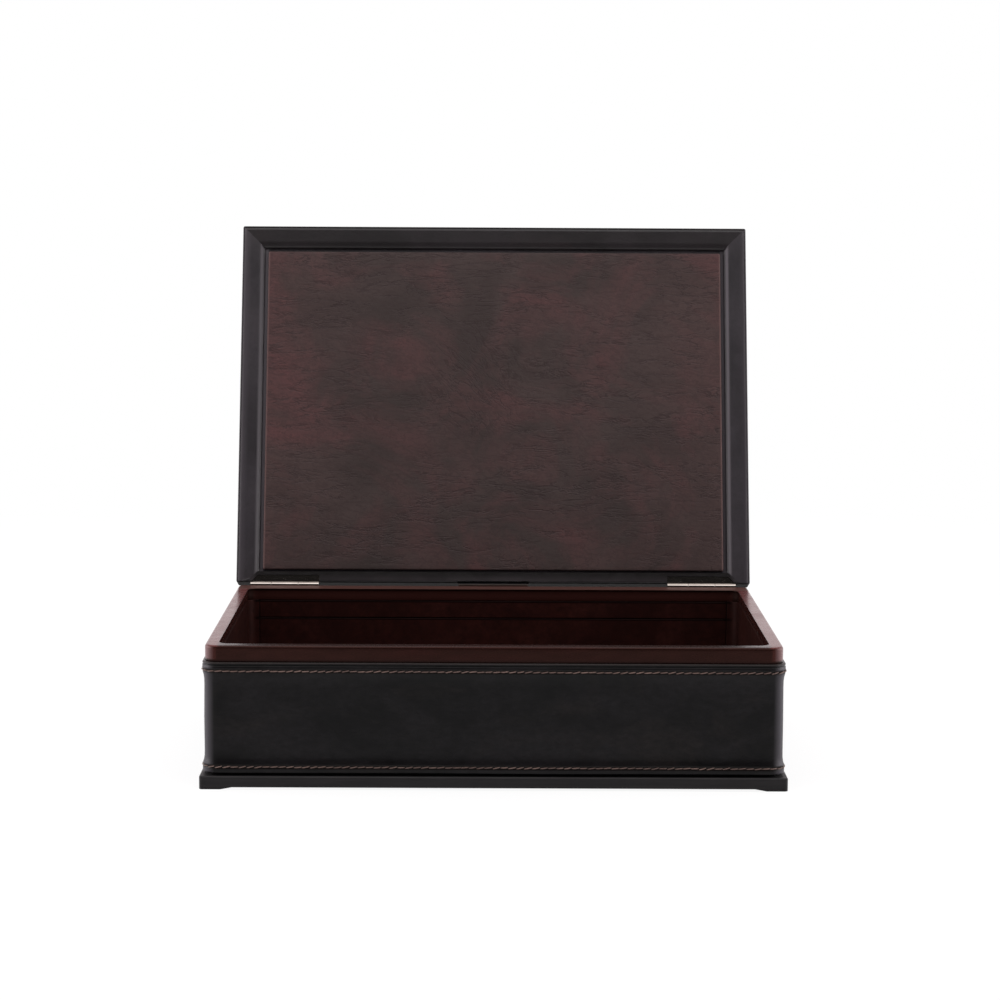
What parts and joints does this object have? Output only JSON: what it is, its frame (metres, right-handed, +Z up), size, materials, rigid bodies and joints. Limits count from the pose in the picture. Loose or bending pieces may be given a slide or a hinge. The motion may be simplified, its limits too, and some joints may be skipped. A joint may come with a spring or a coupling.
{
  "type": "stationery box",
  "caption": "Shallow rectangular stationery box covered in leather, on a low plinth with corner feet, with a lined well for paper and a flat hinged lid that stands open.",
  "frame": {"origin": "centre of the bounding box's base, on the surface that the feet stand on, with the lid open", "axes": "+X along the hinges' pivot to the box's right, -Y out of the front wall, +Z up"},
  "size_m": [0.334, 0.3252, 0.3112],
  "materials": {
    "black_leather": "fine grained, satin",
    "brown_leather": "creased, satin",
    "black_wood": "stained black, satin",
    "bare_wood": "bare, hidden",
    "felt": "black felt",
    "thread": "waxed linen thread",
    "nickel": "polished, nickel plated"
  },
  "bodies": {
    "case": {"leather_band": "black_leather", "upper_hem": "black_leather", "lower_hem": "black_leather", "rim_cover": "brown_leather", "lining_front": "brown_leather", "lining_left": "brown_leather", "lining_right": "brown_leather", "lining_back_upper": "brown_leather", "lining_back_lower": "brown_leather", "floor_lining": "brown_leather", "back_tab": "brown_leather", "base_board": "black_wood", "plinth_front": "black_wood", "plinth_back": "black_wood", "plinth_left": "black_wood", "plinth_right": "black_wood", "foot_front_left": "black_wood", "foot_front_right": "black_wood", "foot_back_left": "black_wood", "foot_back_right": "black_wood", "floor_panel": "bare_wood", "wall_front": "bare_wood", "wall_back": "bare_wood", "wall_left": "bare_wood", "wall_right": "bare_wood", "corner_strip_front_left": "bare_wood", "corner_strip_front_right": "bare_wood", "corner_strip_back_left": "bare_wood", "corner_strip_back_right": "bare_wood", "base_felt": "felt", "upper_stitching": "thread", "lower_stitching": "thread", "left_hinge_case_leaf": "nickel", "right_hinge_case_leaf": "nickel", "left_hinge_pin": "nickel", "right_hinge_pin": "nickel", "case_hinge_nails": "nickel"},
    "lid": {"lid_board": "bare_wood", "lid_cover": "black_leather", "lid_border_front": "black_leather", "lid_border_back": "black_leather", "lid_border_left": "black_leather", "lid_border_right": "black_leather", "lid_panel": "brown_leather", "left_hinge_lid_leaf": "nickel", "right_hinge_lid_leaf": "nickel", "lid_hinge_nails": "nickel"}
  },
  "joints": [
    {"name": "lid_hinge", "type": "hinge", "parent": "case", "child": "lid", "pos_m": [0, 0.07708, 0.0821], "axis": [1, 0, 0], "range_deg": [0, 107]}
  ]
}
